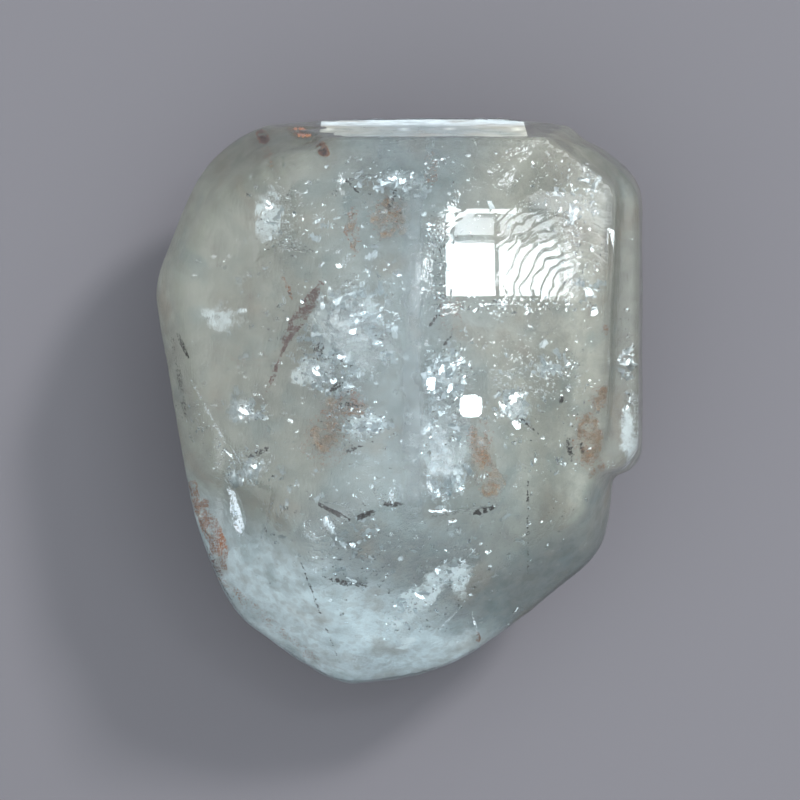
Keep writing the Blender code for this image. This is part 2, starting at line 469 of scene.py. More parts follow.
def thin_sheet(inside, middle, facing, half_sizes, wave_height, seed, finer=3.0):
    """(points, faces, strengths) of a thin, wavy, closed sheet. Its strengths fall to 0 at the rim."""
    size = max(half_sizes)
    rings, spokes = 5 + round(size * finer), 16 + 4 * round(size * finer * 0.8)
    across = Vector((0, 1, 0)).cross(facing).normalized()
    along = facing.cross(across)
    corners = shard(random.Random(seed))
    points, strengths = [], []
    for side, ring, spoke in itertools.product((1, -1), range(1, rings + 1), range(spokes)):
        angle = math.tau * spoke / spokes
        outline = Vector((math.cos(angle), math.sin(angle), seed))
        reach = shard_reach(corners, angle) + 0.08 * noise.noise(outline * 6)
        flat = across * outline.x * half_sizes[0] + along * outline.y * half_sizes[1]
        share, spot = kept_inside(inside, middle, flat, reach, ring / rings)
        rib = Vector((flat.dot(across) / 0.45, flat.dot(along) / 4, seed)) * share
        wave = wave_at(spot, rib, seed) * wave_height * MM
        gap = side * SHEET_HALF * (1 - 0.95 * (ring / rings) ** 2)
        points.append(tuple(spot + facing * (wave + gap)))
        strengths.append(1 - share**2)
    return points, sheet_faces(rings, spokes), strengths


def add_hollow(shape, points, faces):
    """Adds a closed surface to shape as a hollow: turned to face into the crystal."""
    corners = [shape.verts.new(point) for point in points]
    for face in faces:
        shape.faces.new([corners[number] for number in reversed(face)]).smooth = True


def open_cracks(stone, sight):
    """Cracks are hollows, so their walls mirror what meets them at a slant, as real ones do."""
    shape = bmesh.new()
    shape.from_mesh(stone.data)
    facing = unit(*CLEAVAGE)
    for seed, (pixel, depth, half_sizes) in enumerate(CLEAVAGE_CRACKS.values()):
        place, _ = sight.place(pixel, depth)
        add_hollow(shape, *thin_sheet(sight.inside, place, facing, half_sizes, 0.4, 5.1 * seed + 300)[:2])
    shape.to_mesh(stone.data)
    shape.free()


# Healed cracks, seen as clouds, as name: (pixel, depth in mm, azimuth and tilt it faces, half sizes in mm)
VEILS = {
    "feather": ((352, 330), 5.0, (60, 35), (3.8, 4.4)),
    "middle": ((440, 420), 5.0, (40, 30), (3.0, 5.0)),
}
BRIGHT_VEILS = {  # whiter and finer clouds before them, in the same form
    "feather": ((352, 328), 4.2, (60, 35), (3.0, 3.4)),
    "feather_low": ((322, 372), 3.4, (80, 30), (1.8, 1.2)),
    "comb": ((246, 410), 2.6, (150, 20), (1.2, 0.8)),
    "small_fan": ((510, 404), 2.8, (30, 20), (1.0, 1.4)),
    "ridge_fan": ((444, 374), 3.0, (40, 30), (1.6, 1.6)),
    "middle": ((440, 450), 3.4, (40, 20), (1.2, 2.8)),
    "stain_fan": ((368, 426), 2.8, (60, 20), (1.2, 1.0)),
}
RUST_FILMS = {  # films of iron rust in cracks, in the same form
    "orange_top": ((346, 405), 2.5, (90, 25), (2.1, 1.2)),
    "orange_low": ((326, 438), 3.0, (60, 25), (2.2, 2.0)),
    "upper_brown": ((352, 230), 1.8, (180, 40), (0.8, 2.3)),
    "rose_top": ((388, 216), 3.0, (90, 20), (2.0, 2.4)),
    "middle_brown": ((480, 446), 2.5, (0, 20), (1.2, 2.2)),
    "middle_low": ((492, 484), 2.5, (0, 20), (1.5, 1.9)),
    "ledge_brown": ((590, 440), 2.5, (0, 30), (1.4, 3.2)),
    "ledge_top": ((600, 395), 2.0, (0, 30), (0.9, 1.7)),
    "left_bevel": ((204, 528), 0.3, (200, 40), (0.8, 3.6)),
    "corner": ((312, 140), 0.5, (90, 30), (1.3, 0.8)),
}


def add_films(name, films, sight, material, seed):
    """Thin see-through sheets, all in one piece."""
    points, faces, strengths = [], [], []
    for number, (pixel, depth, facing, half_sizes) in enumerate(films.values()):
        place, _ = sight.place(pixel, depth)
        waves = min(0.5, 0.3 * depth)
        margin = (0.4 * depth + waves) * MM if depth < 1 else SKIN
        inside = functools.partial(sight.inside, margin=margin)
        sheet = thin_sheet(inside, place, unit(*facing), half_sizes, waves, 3.7 * number + seed, 1.6)
        faces += [[corner + len(points) for corner in face] for face in sheet[1]]
        points += sheet[0]
        strengths += sheet[2]
    piece = new_piece(name, points, faces, material)
    strength = piece.data.attributes.new("strength", "FLOAT", "POINT")
    strength.data.foreach_set("value", strengths)
    for face in piece.data.polygons:
        face.use_smooth = True


BRIGHT_PATCHES = {  # where the heart is whiter, as name: (pixel, half sizes in pixels, turn in degrees)
    "tip_middle": ((425, 590), (62, 17), 45),
    "tip_upper": ((463, 572), (13, 24), 0),
    "tip_corner": ((405, 640), (14, 12), 0),
    "feather": ((352, 326), (46, 50), 0),
    "feather_low": ((322, 372), (30, 20), 0),
    "ridge_fan": ((443, 372), (22, 26), 0),
    "small_fan": ((511, 404), (17, 22), 0),
    "middle": ((440, 440), (26, 60), 0),
    "stain_fan": ((370, 426), (24, 16), 0),
    "comb": ((246, 410), (19, 13), 0),
    "left_patch": ((274, 214), (20, 34), 0),
    "left_milk": ((225, 316), (20, 16), 0),
    "ledge": ((629, 436), (11, 36), 0),
    "right_fan": ((547, 366), (26, 12), 0),
    "top_middle": ((400, 180), (34, 12), 0),
}
HAZE_DEPTH = 0.28 * MM
FROSTING = 0.015 * MM  # how far the cleavage face's thin, pale frosting stands off it; the frosting is a painted reflection of the face
# how thick that frosting is: a painted reflection on the cleavage face
PAINTED_SHEEN = 0.56
STRIP = (-6.5, 10.3)  # the ends of the unbroken part of the cleavage face, in X, in mm
STRIP_GLINTS = (-5.6, 0.3, 3.7, 9.2)  # where white glints are painted on it as spots of full frosting, in X, in mm
STRIP_GLINT = (16.0, 0.42, 2.0)  # the height of these painted glints and their half sizes, in mm


def inner_copy(name, skin_shape, depth, material, **shares):
    """A copy of the crystal's surface moved inwards, that stores the named shares at its points."""
    piece = even_mesh(name, skin_shape, 0.6 * MM)
    points, normals = read_mesh(piece.data)
    for title, share in shares.items():
        stored = piece.data.attributes.new(title, "FLOAT", "POINT")
        stored.data.foreach_set("value", share(points, normals))
    write_mesh(piece.data, points - normals * depth(points, normals)[:, None])
    piece.data.materials.clear()
    piece.data.materials.append(material)
    for face in piece.data.polygons:
        face.use_smooth = True
    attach(piece, "root")
    return piece


def bright_share(sight):
    """How bright the heart is at each point, from the patches named above."""
    def share(points, normals):
        found = np.zeros(len(points))
        ragged = 0.35 * noise_at(points, 1.2 * MM, seed=21.0)
        for pixel, half_sizes, turn in BRIGHT_PATCHES.values():
            spot = sight.surface(pixel)[0]
            x, y = (points[:, :2] - np.array(spot[:2])).T / (CAMERA_HEIGHT - spot.z) * PIXELS_PER_RADIAN
            cosine, sine = math.cos(math.radians(turn)), math.sin(math.radians(turn))
            across, along = (x * cosine + y * sine) / half_sizes[0], (y * cosine - x * sine) / half_sizes[1]
            found = np.maximum(found, smooth_step(1.1, 0.4, np.hypot(across, along) + ragged))
        return found

    return share


def add_milk(skin_shape, sight):
    """The cloudy heart of the crystal, that its cracks are seen against."""
    def depth(points, normals):
        return np.full(len(points), MILK_DEPTH[0] * MM)

    material = milk("milk", MILK_MIDDLE, 0.76, 0.99)
    heart = inner_copy("milky_heart", skin_shape, depth, material, bright=bright_share(sight))
    points, _ = read_mesh(heart.data)
    lower = heart_depth(*points.T) - MILK_DEPTH[0]
    points[:, 2] -= lower * (1 + 0.15 * noise_at(points, 4 * MM, seed=12.0)) * MM
    write_mesh(heart.data, points)
    smooth_out(heart, 8)


def frosted(points, normals):
    """1 on the unbroken part of the cleavage face, where the frosting paints its reflection, and 0
    elsewhere.
    """
    x = points[:, 0] / MM
    left, right = STRIP
    share = smooth_step(0.90, 0.97, normals @ np.array(unit(*CLEAVAGE)))
    return share * smooth_step(left - 0.2, left + 0.2, x) * smooth_step(right + 0.2, right - 0.2, x)


def haze_strength(points, normals):
    """How thick the haze is: on the cleavage face, where it is a painted reflection with painted glints,
    the ridge, the rim and below the top edge.
    """
    x, y, z = points.T / MM
    cleavage = frosted(points, normals)
    height, half_wide, half_high = STRIP_GLINT
    ragged = 0.3 * noise_at(points, 0.5 * MM, (1, 1, 4), seed=17.0)
    # these chips are painted glints: spots where the frosting on the cleavage face is full
    chips = [np.hypot((x - spot) / half_wide, (z - height) / half_high) + ragged for spot in STRIP_GLINTS]
    painted_glint_share = smooth_step(1.1, 0.6, np.min(chips, axis=0)) * cleavage
    middle, half, low, high = RIDGE
    wander = 0.35 * noise_at(points * (0, 1, 0), 4 * MM, seed=4.0)
    ridge = smooth_step(half * 1.15, half * 0.7, np.abs(x - middle - wander)) * (z > 12)
    ridge *= smooth_step(low - 2, low + 2, y) * smooth_step(high + 2, high - 2, y)
    rim = smooth_step(15, 8, z)
    top = smooth_step(16.5, 19.5, y) * (z > 10)
    return np.maximum.reduce([painted_glint_share, PAINTED_SHEEN * cleavage, 0.62 * ridge, 0.24 * rim, 0.42 * top])


def add_haze(skin_shape):
    """Haze close under the skin at the ridge, the rim and the top, and a pale frosting on the cleavage face
    that paints its reflection and glints.
    """
    def depth(points, normals):
        return HAZE_DEPTH - (HAZE_DEPTH + FROSTING) * frosted(points, normals)

    material = milk("haze", HAZE_MIDDLE, 0.7, 1.0, True)
    piece = inner_copy("skin_haze", skin_shape, depth, material, strength=haze_strength)
    strengths = np.empty(len(piece.data.vertices))
    piece.data.attributes["strength"].data.foreach_get("value", strengths)
    shape = bmesh.new()
    shape.from_mesh(piece.data)
    clear = [face for face in shape.faces if max(strengths[corner.index] for corner in face.verts) < 0.02]
    bmesh.ops.delete(shape, geom=clear, context="FACES")
    shape.to_mesh(piece.data)
    shape.free()


def new_piece(name, points, faces, material):
    """A piece of the crystal, made from its points and faces."""
    mesh = bpy.data.meshes.new(name)
    mesh.from_pydata(points, [], faces)
    mesh.materials.append(material)
    piece = bpy.data.objects.new(name, mesh)
    bpy.context.scene.collection.objects.link(piece)
    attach(piece, "root")
    return piece


# Patches of small things, as name: (pixel, half sizes in pixels, turn in degrees, depth in mm, how many)
GLINTS = {
    "top_middle": ((404, 178), (36, 10), 0, 2.0, 130),
    "under_cleavage": ((436, 160), (12, 28), 0, 2.0, 60),
    "beside_window": ((438, 262), (14, 50), 0, 1.5, 260),
    "under_window": ((500, 306), (60, 8), 0, 1.5, 240),
    "right_of_window": ((582, 262), (20, 60), 0, 1.5, 260),
    "shell": ((560, 190), (44, 34), 0, 1.0, 240),
    "feather": ((348, 335), (52, 56), 0, 4.0, 600),
    "feather_low": ((330, 372), (34, 24), 0, 3.0, 220),
    "ridge_fan": ((446, 372), (30, 28), 0, 2.5, 300),
    "small_fan": ((510, 404), (16, 20), 0, 2.5, 110),
    "right": ((548, 366), (40, 14), 0, 2.5, 150),
    "right_low": ((560, 420), (50, 60), 0, 2.5, 180),
    "stains": ((362, 424), (40, 18), 0, 2.5, 220),
    "middle": ((440, 440), (34, 70), 0, 3.5, 420),
    "foot": ((360, 548), (56, 40), 0, 3.5, 280),
    "tip": ((427, 590), (66, 22), 45, 1.4, 260),
    "left_edge": ((206, 440), (54, 14), -62, 1.0, 260),
    "left": ((248, 410), (24, 16), 0, 2.5, 130),
    "left_step": ((250, 466), (28, 20), 0, 2.5, 160),
    "left_patch": ((280, 210), (38, 40), 0, 2.5, 60),
    "ledge": ((626, 360), (9, 60), 0, 1.2, 130),
    "upper": ((440, 220), (200, 90), 0, 4.0, 400),
    "everywhere": ((400, 390), (215, 255), 0, 5.0, 3000),
}
FACETS = {  # larger crack walls, in the same form
    "feather": ((350, 328), (46, 48), 0, 3.6, 210),
    "feather_low": ((326, 372), (34, 26), 0, 3.0, 80),
    "ridge_fan": ((444, 374), (24, 24), 0, 2.8, 90),
    "small_fan": ((510, 404), (15, 20), 0, 2.6, 50),
    "right_fan": ((546, 367), (22, 9), 0, 3.0, 24),
    "comb": ((246, 410), (18, 12), 0, 3.0, 40),
    "left_patch": ((270, 210), (14, 16), 0, 1.2, 14),
    "left_step": ((250, 468), (24, 16), 10, 2.2, 50),
    "stains": ((366, 424), (24, 12), 0, 3.0, 50),
    "tip_upper": ((461, 570), (14, 18), 0, 1.4, 16),
    "tip_middle": ((418, 600), (40, 16), 45, 1.4, 26),
    "foot": ((356, 540), (30, 24), 0, 2.6, 40),
    "middle": ((440, 440), (30, 60), 0, 4.2, 110),
    "top": ((400, 186), (34, 14), 0, 2.6, 50),
    "ledge": ((627, 362), (8, 16), 0, 1.4, 20),
    "cluster": ((588, 292), (12, 24), 0, 2.2, 26),
    "upper_right": ((574, 200), (30, 26), 0, 2.6, 34),
    "everywhere": ((400, 380), (190, 230), 0, 5.0, 300),
}
IRON_STAINS = {
    "corner_pit": ((263, 137), (6, 8), 20, 0.12, 500),
    "corner_smear": ((268, 156), (5, 14), 15, 0.2, 120),
    "notch_left": ((300, 131), (13, 5), -20, 0.12, 300),
    "notch_right": ((322, 149), (6, 9), 20, 0.12, 520),
    "upper_brown": ((352, 230), (8, 28), 5, 2.0, 360),
    "rose_top": ((388, 216), (22, 26), 0, 2.5, 240),
    "red_specks": ((431, 170), (7, 24), 0, 1.2, 220),
    "orange_top": ((346, 405), (26, 15), 5, 3.0, 600),
    "orange_low": ((326, 438), (27, 26), 60, 3.5, 680),
    "middle_brown": ((480, 444), (14, 24), 0, 2.5, 280),
    "middle_low": ((490, 480), (18, 22), 0, 2.5, 120),
    "ledge_brown": ((588, 445), (16, 34), 10, 2.5, 520),
    "ledge_top": ((598, 400), (10, 16), 0, 2.0, 140),
    "left_bevel": ((210, 527), (50, 9), -67, 0.22, 3400),
    "left_rim": ((258, 612), (84, 5), -40, 0.2, 700),
    "foot_spot": ((478, 637), (4, 6), 0, 0.25, 120),
    "yellow_left": ((248, 356), (22, 16), 0, 3.0, 104),
    "thin_line": ((288, 289), (13, 2.5), -68, 1.5, 160),
    "ledge_fleck": ((606, 330), (3, 6), 0, 0.5, 60),
    "window_low": ((452, 315), (12, 20), 0, 1.5, 200),
}
SLIVERS = {
    "corner_pit": ((263, 137), (5, 7), 20, 0.12, 320),
    "notch_left": ((302, 131), (10, 4), -20, 0.12, 220),
    "notch_right": ((322, 150), (5, 7), 20, 0.12, 360),
    "bevel_top": ((188, 488), (9, 3), -70, 0.2, 60),
    "bevel_low": ((216, 566), (14, 3), -60, 0.2, 120),
    "sliver": ((303, 313), (36, 7), 57, 1.5, 1150),
    "sliver_tail": ((277, 366), (33, 1.8), 68, 1.6, 420),
}
DARK_SPECKS = {
    "beside_ridge": ((434, 320), (9, 1.2), 60, 1.0, 50),
    "beside_ridge_low": ((448, 340), (8, 1.2), 55, 1.0, 36),
    "below_feather": ((338, 386), (9, 3), 30, 1.6, 60),
    "left_of_feather": ((318, 352), (5, 10), -20, 1.6, 50),
    "stain_line": ((346, 404), (16, 2), -10, 1.4, 50),
    "stain_low": ((352, 450), (12, 2), 20, 1.4, 40),
    "fan_line": ((520, 418), (26, 1.1), -40, 1.0, 60),
    "top_scratch": ((392, 200), (2, 14), -20, 1.0, 50),
    "edge_left": ((183, 346), (20, 2), -66, 0.2, 110),
    "right_facet": ((528, 530), (66, 1.0), 90, 0.8, 70),
    # a dark line painted as shade along the kite-shaped facet's edge
    "kite_painted_shade": ((318, 607), (66, 1.0), -69, 0.5, 90),
    "corner_pit": ((263, 137), (3, 5), 20, 0.1, 60),
    "notch_pit": ((323, 151), (3, 4), 20, 0.1, 50),
    "line_left": ((334, 512), (18, 2.5), -28, 1.2, 260),
    "line_left_end": ((362, 516), (16, 2.5), 22, 1.2, 220),
    "line_middle": ((394, 504), (12, 3), 0, 1.2, 130),
    "line_right": ((484, 510), (14, 3), 18, 1.2, 220),
    "short_line": ((340, 582), (12, 2.5), -12, 1.2, 120),
    "short_line_end": ((364, 586), (11, 1.5), -6, 2.5, 40),
    "left_line": ((258, 453), (12, 2.5), 25, 1.5, 90),
    "left_patch": ((262, 232), (12, 22), 30, 2.0, 24),
    "left_patch_top": ((290, 196), (6, 14), 0, 2.0, 20),
    "feather": ((326, 372), (30, 24), 0, 2.5, 40),
    "right_speck": ((562, 400), (3, 4), 0, 2.0, 40),
    "right_lines": ((570, 450), (3, 14), 10, 1.2, 70),
    "right_line_low": ((583, 449), (2, 6), 20, 1.2, 30),
    "ledge_speck": ((637, 460), (2, 2), 0, 0.5, 20),
    "upper_line": ((352, 186), (12, 1.5), -45, 1.0, 60),
    "upper_specks": ((396, 214), (18, 18), 0, 1.5, 26),
    "beside_window": ((440, 270), (14, 50), 0, 1.0, 60),
    "stain_specks": ((350, 430), (40, 26), 0, 2.0, 50),
    "left_edge": ((178, 372), (46, 3), -80, 0.25, 160),
    "foot_specks": ((360, 560), (40, 26), 0, 2.0, 40),
    "tip_specks": ((425, 610), (40, 30), 0, 1.5, 40),
    "everywhere": ((400, 390), (200, 240), 0, 3.0, 160),
}
WHITE_VEILS = {
    "feather": ((352, 330), (44, 50), 0, 4.5, 900),
    "middle": ((440, 400), (34, 60), 0, 5.0, 900),
    "left_patch": ((276, 220), (26, 34), 0, 3.5, 700),
    "left_milk": ((226, 318), (18, 14), 0, 3.0, 260),
    "comb": ((246, 410), (18, 12), 0, 3.0, 260),
    "left_step": ((256, 466), (20, 12), 20, 3.0, 240),
    "ledge": ((630, 430), (9, 46), 0, 1.8, 500),
    # white grains that paint the slit's highlight
    "left_slit": ((233, 511), (27, 5), -76, 0.3, 1300),
    # white lines painted as highlights along the kite-shaped facet's and the foot chip's edges
    "kite_painted_highlight": ((448, 578), (40, 1.2), 47, 0.3, 260),
    "chip_painted_highlight_left": ((450, 619), (18, 1.2), 50, 0.25, 110),
    "chip_painted_highlight_right": ((476, 626), (16, 1.2), -75, 0.25, 90),
    "tip_end": ((372, 664), (26, 7), -12, 0.5, 500),
    "left_edge_line": ((206, 408), (42, 1.3), -62, 0.4, 200),
    "left_edge_low": ((240, 462), (30, 1.3), -60, 0.4, 160),
    "right": ((540, 380), (50, 20), 0, 4.0, 600),
    # white grains behind the cleavage strip, which paint its reflection brighter
    "under_cleavage": ((420, 128), (108, 9), 0, 0.8, 1500),
}


def patch_places(sight, rng, patch, least_z=0.15):
    """Places in a clumpy patch: (place, way of the camera's ray there) for each."""
    pixel, half_sizes, turn, depth, count = patch
    cosine, sine = math.cos(math.radians(turn)), math.sin(math.radians(turn))
    found = []
    for _ in range(count * 8):
        if len(found) == count:
            break
        u, v = rng.uniform(-1, 1), rng.uniform(-1, 1)
        across, down = u * half_sizes[0], v * half_sizes[1]
        spot = (pixel[0] + across * cosine + down * sine, pixel[1] - across * sine + down * cosine)
        cloud = Vector((*spot, pixel[0]))
        edge = math.hypot(u, v) + 0.5 * noise.noise(cloud / 14)
        clump = 0.55 + noise.noise(cloud / 9) + 0.8 * noise.noise(cloud / 3.5)
        if edge > 0.95 or rng.random() > clump:
            continue
        seen = sight.surface(spot)
        if seen is None or seen[1].z < least_z:
            continue
        waver = 1 + 0.5 * noise.noise(cloud / 40) + rng.uniform(-0.12, 0.12)
        place, way = sight.place(spot, depth * waver)
        if sight.inside(place, min(SKIN, 0.5 * depth * MM)):
            found.append((place, way))
    return found


def many(template, faces, places, turns, sizes):
    """(points, triangles) of one small closed shape repeated."""
    points = [template @ np.array(turn).T * size + np.array(place)
              for place, turn, size in zip(places, turns, sizes)]
    triangles = [np.array(faces) + number * len(template) for number in range(len(places))]
    return np.concatenate(points), np.concatenate(triangles)


GRAIN = np.array([(1, 1, 1), (-1, -1, 1), (-1, 1, -1), (1, -1, -1)]) * 0.7
GRAIN_FACES = [(0, 2, 1), (0, 1, 3), (0, 3, 2), (1, 2, 3)]
GLINT_SIZES = (0.055, 0.32)  # the least and the most, in mm
FACET_SIZES = (0.20, 0.70)
FLAKE = GRAIN * (1, 0.45, 0.12)
RIM_POINTS = 20


def any_turn(rng):
    """A random rotation."""
    axis = Vector((rng.gauss(0, 1), rng.gauss(0, 1), rng.gauss(0, 1))).normalized()
    return axis.to_track_quat("Z", "Y").to_matrix() @ Matrix.Rotation(rng.uniform(0, math.tau), 3, "Z")


def round_square(angle):
    """How far the outline of a rounded square reaches at an angle."""
    return (math.cos(angle) ** 4 + math.sin(angle) ** 4) ** -0.25


def spot_rim(place, facing, half_sizes, turn, waviness, seed):
    """The points round a crack wall whose outline, seen from above, is a shard or a rounded square."""
    corners = shard(random.Random(seed)) if waviness else []
    cosine, sine = math.cos(math.radians(turn)), math.sin(math.radians(turn))
    scale = (CAMERA_HEIGHT - place.z) / PIXELS_PER_RADIAN
    rim = []
    for step in range(RIM_POINTS):
        angle = math.tau * step / RIM_POINTS
        reach = shard_reach(corners, angle) if corners else round_square(angle)
        right = math.cos(angle) * reach * half_sizes[0]
        up = math.sin(angle) * reach * half_sizes[1]
        flat = Vector((right * cosine + up * sine, up * cosine - right * sine, 0)) * scale
        flat.z = -flat.dot(facing) / facing.z
        rim.append(place + flat + facing * waviness * noise.noise(flat / (0.5 * MM)) * MM)
    return rim


def bright_spots(sight):
    """(points, triangles) of the crack walls that mirror the glow."""
    points, triangles = [], []
    for seed, (pixel, depth, half_sizes, turn, waviness) in enumerate(BRIGHT_SPOTS.values()):
        place, way = sight.place(pixel, depth)
        facing = sight.facing(place, way, GLOW, MIRROR_TILTS, (10, 3))
        rim = spot_rim(place, facing, half_sizes, turn, waviness, seed)
        front = len(points)
        rear, start = front + 1, front + 2
        points += [tuple(spot) for spot in (place + facing * SHEET_HALF, place - facing * SHEET_HALF, *rim)]
        for step in range(RIM_POINTS):
            now, after = start + step, start + (step + 1) % RIM_POINTS
            triangles += [(front, now, after), (rear, after, now)]
    return points, triangles


def add_flakes(name, patches, sizes_between, sight, material, seed):
    """Tiny crack walls that mirror whatever lies their way, some of them the glow."""
    rng = random.Random(seed)
    least, most = sizes_between
    places, turns, sizes = [], [], []
    for patch in patches.values():
        for place, _ in patch_places(sight, rng, patch, 0.2):
            facing = unit(rng.gauss(GLOW[0], 70), rng.triangular(5, 75, 25))
            spin = Matrix.Rotation(rng.uniform(0, math.tau), 3, "Z")
            places.append(place)
            turns.append(facing.to_track_quat("Z", "Y").to_matrix() @ spin)
            sizes.append(min(least * rng.paretovariate(2.2), most) * MM)
    points, triangles = many(FLAKE, GRAIN_FACES, places, turns, sizes)
    new_piece(name, points.tolist(), triangles.tolist(), material)


def grains(name, patches, sight, material, size, seed):
    """Small angular grains, turned any way, all in one piece. size is in mm."""
    rng = random.Random(seed)
    places = [place for patch in patches.values() for place, _ in patch_places(sight, rng, patch)]
    turns = [any_turn(rng) for _ in places]
    sizes = [size * rng.uniform(0.5, 1.5) * MM for _ in places]
    points, triangles = many(GRAIN, GRAIN_FACES, places, turns, sizes)
    new_piece(name, points.tolist(), triangles.tolist(), material)


# ---- materials


class Nodes:
    """Short ways to add and link shader nodes."""

    def __init__(self, tree):
        self.tree = tree

    def add(self, kind, values=(), **settings):
        node = self.tree.nodes.new(kind)
        for name, value in settings.items():
            setattr(node, name, value)
        for socket, value in dict(values).items():
            self.put(value, node.inputs[socket])
        return node

    def put(self, value, socket):
        if isinstance(value, bpy.types.NodeSocket):
            self.tree.links.new(value, socket)
        else:
            socket.default_value = value

    def math(self, operation, first, second=0.0):
        return self.add("ShaderNodeMath", {0: first, 1: second}, operation=operation).outputs[0]

    def plus(self, first, second):
        return self.math("ADD", first, second)

    def less(self, first, second):
        return self.math("SUBTRACT", first, second)

    def times(self, first, second):
        return self.math("MULTIPLY", first, second)

    def greater(self, first, second):
        return self.math("MAXIMUM", first, second)

    def distance(self, first, second):
        return self.math("ABSOLUTE", self.less(first, second))

    def ramp(self, value, low, high, out_low=0.0, out_high=1.0):
        values = {"Value": value, "From Min": low, "From Max": high, "To Min": out_low, "To Max": out_high}
        return self.add("ShaderNodeMapRange", values, interpolation_type="SMOOTHSTEP").outputs[0]

    def mix(self, share, first, second):
        values = {"Factor": share, 6: first, 7: second}
        return self.add("ShaderNodeMix", values, data_type="RGBA").outputs[2]

    def place(self):
        return self.add("ShaderNodeTexCoord").outputs["Object"]

    def axes(self, place):
        return self.add("ShaderNodeSeparateXYZ", {0: place}).outputs

    def clouds(self, place, scale, detail, **others):
        values = {"Vector": place, "Scale": scale, "Detail": detail, **others}
        return self.add("ShaderNodeTexNoise", values).outputs["Fac"]

    def stored(self, title):
        """The numbers stored under this title at the mesh's points."""
        return self.add("ShaderNodeAttribute", attribute_name=title).outputs["Fac"]

    def toward(self, azimuth, elevation):
        """How far a ray to the studio points this way, from -1 to 1."""
        values = {0: self.add("ShaderNodeTexCoord").outputs["Generated"], 1: unit(azimuth, 90 - elevation)}
        return self.add("ShaderNodeVectorMath", values, operation="DOT_PRODUCT").outputs["Value"]


def new_material(name):
    """(material, its nodes, its shader)."""
    mat = bpy.data.materials.new(name)
    mat.use_nodes = True
    return mat, Nodes(mat.node_tree), mat.node_tree.nodes["Principled BSDF"]


def plain(name, color, rough, **others):
    """The same all over. others are more values of the shader."""
    mat, _, shader = new_material(name)
    for title, value in {"Base Color": (*color, 1), "Roughness": rough, **others}.items():
        shader.inputs[title].default_value = value
    return mat


ABSORBED = (0.55, 0.72, 0.58, 1)  # what light loses its colour to, slowly
ABSORPTION = 4.0
DRIFT = 160.0  # the scale of the slow changes of colour and gloss
BLUISH = (0.90, 0.97, 0.98, 1)
OLIVE = (0.96, 0.955, 0.91, 1)
GRAIN_SCALE = 3600.0
BUMP = 0.04 * MM


def topaz(calm_spot, arcs_spot):
    """Clear topaz with an etched, frosted skin, smooth only where it mirrors the window."""
    mat, n, s = new_material("topaz")
    s.inputs["IOR"].default_value = IOR
    s.inputs["Transmission Weight"].default_value = 1
    volume = n.add("ShaderNodeVolumeAbsorption", {"Color": ABSORBED, "Density": ABSORPTION})
    n.put(volume.outputs[0], n.tree.nodes["Material Output"].inputs["Volume"])

    place = n.place()
    x, y, z = n.axes(place)
    drift = n.clouds(place, DRIFT, 2.0)
    n.put(tint(n, x, y, drift), s.inputs["Base Color"])
    beside = [n.less(n.distance(axis, spot), half * MM)
              for axis, spot, half in zip((x, y), calm_spot, CALM_HALF)]
    lively = n.ramp(n.greater(*beside), 0, CALM_FADE)
    n.put(skin(n, x, y, z, drift, lively), s.inputs["Roughness"])
    right_half = n.ramp(n.less(x, calm_spot[0]), -0.8 * MM, 1.0 * MM)
    height = n.plus(etching(n, place, lively, right_half), grooves(n, place, right_half, arcs_spot))
    bump = n.add("ShaderNodeBump", {"Height": height, "Strength": 1.0, "Distance": BUMP})
    n.put(bump.outputs[0], s.inputs["Normal"])
    return mat


def tint(n, x, y, drift):
    """Olive towards the sides, bluish in the middle and the foot."""
    wander = n.times(n.less(drift, 0.5), 12 * MM)
    off_middle = n.plus(n.distance(x, -0.5 * MM), wander)
    upper = n.ramp(y, -14 * MM, 4 * MM, 0.35, 1.0)
    return n.mix(n.times(n.ramp(off_middle, 1 * MM, 9 * MM), upper), BLUISH, OLIVE)


def skin(n, x, y, z, drift, lively):
    """How rough the surface is, from place to place."""
    front = n.plus(n.ramp(z, 3 * MM, 11 * MM, 0.48, 0.03), n.times(drift, 0.10))
    front = n.times(front, n.ramp(lively, 0.0, 1.0, 0.3, 1.0))
    band = n.ramp(n.distance(x, RIDGE[0] * MM), 0.95 * MM, 0.5 * MM)
    ends = n.times(n.ramp(y, -11 * MM, -8 * MM), n.ramp(y, 17.5 * MM, 15.5 * MM))
    ridge = n.times(n.times(band, ends), 0.19)
    top = n.ramp(y, 22.3 * MM, 22.7 * MM, 0.0, 0.3)
    side = n.ramp(n.distance(x, 1 * MM), 9 * MM, 14 * MM, 0.0, 0.20)
    return n.greater(n.greater(front, side), n.greater(ridge, top))


def etching(n, place, lively, right_half):
    """The height of the etched grain, which all but stops where the window is mirrored."""
    stretched = n.add("ShaderNodeMapping", {"Vector": place, "Scale": (1, 0.5, 1)}).outputs[0]
    grain = n.clouds(stretched, GRAIN_SCALE, 2.0)
    return n.times(grain, n.greater(lively, n.times(right_half, 0.03)))


def grooves(n, place, right_half, middle):
    """The height of the fine grooves that run round a middle."""
    around = n.add("ShaderNodeMapping", {"Vector": place, "Location": [-axis for axis in middle]})
    rings = {"Vector": around.outputs[0], "Scale": math.tau / 20 / ARCS_PITCH, "Distortion": 6.0,
             "Detail": 1.0, "Detail Scale": 1.6, "Detail Roughness": 0.5}
    arcs = n.add("ShaderNodeTexWave", rings, wave_type="RINGS", rings_direction="SPHERICAL")
    return n.times(n.math("POWER", arcs.outputs["Fac"], 8.0), n.times(right_half, -ARCS_DEPTH))


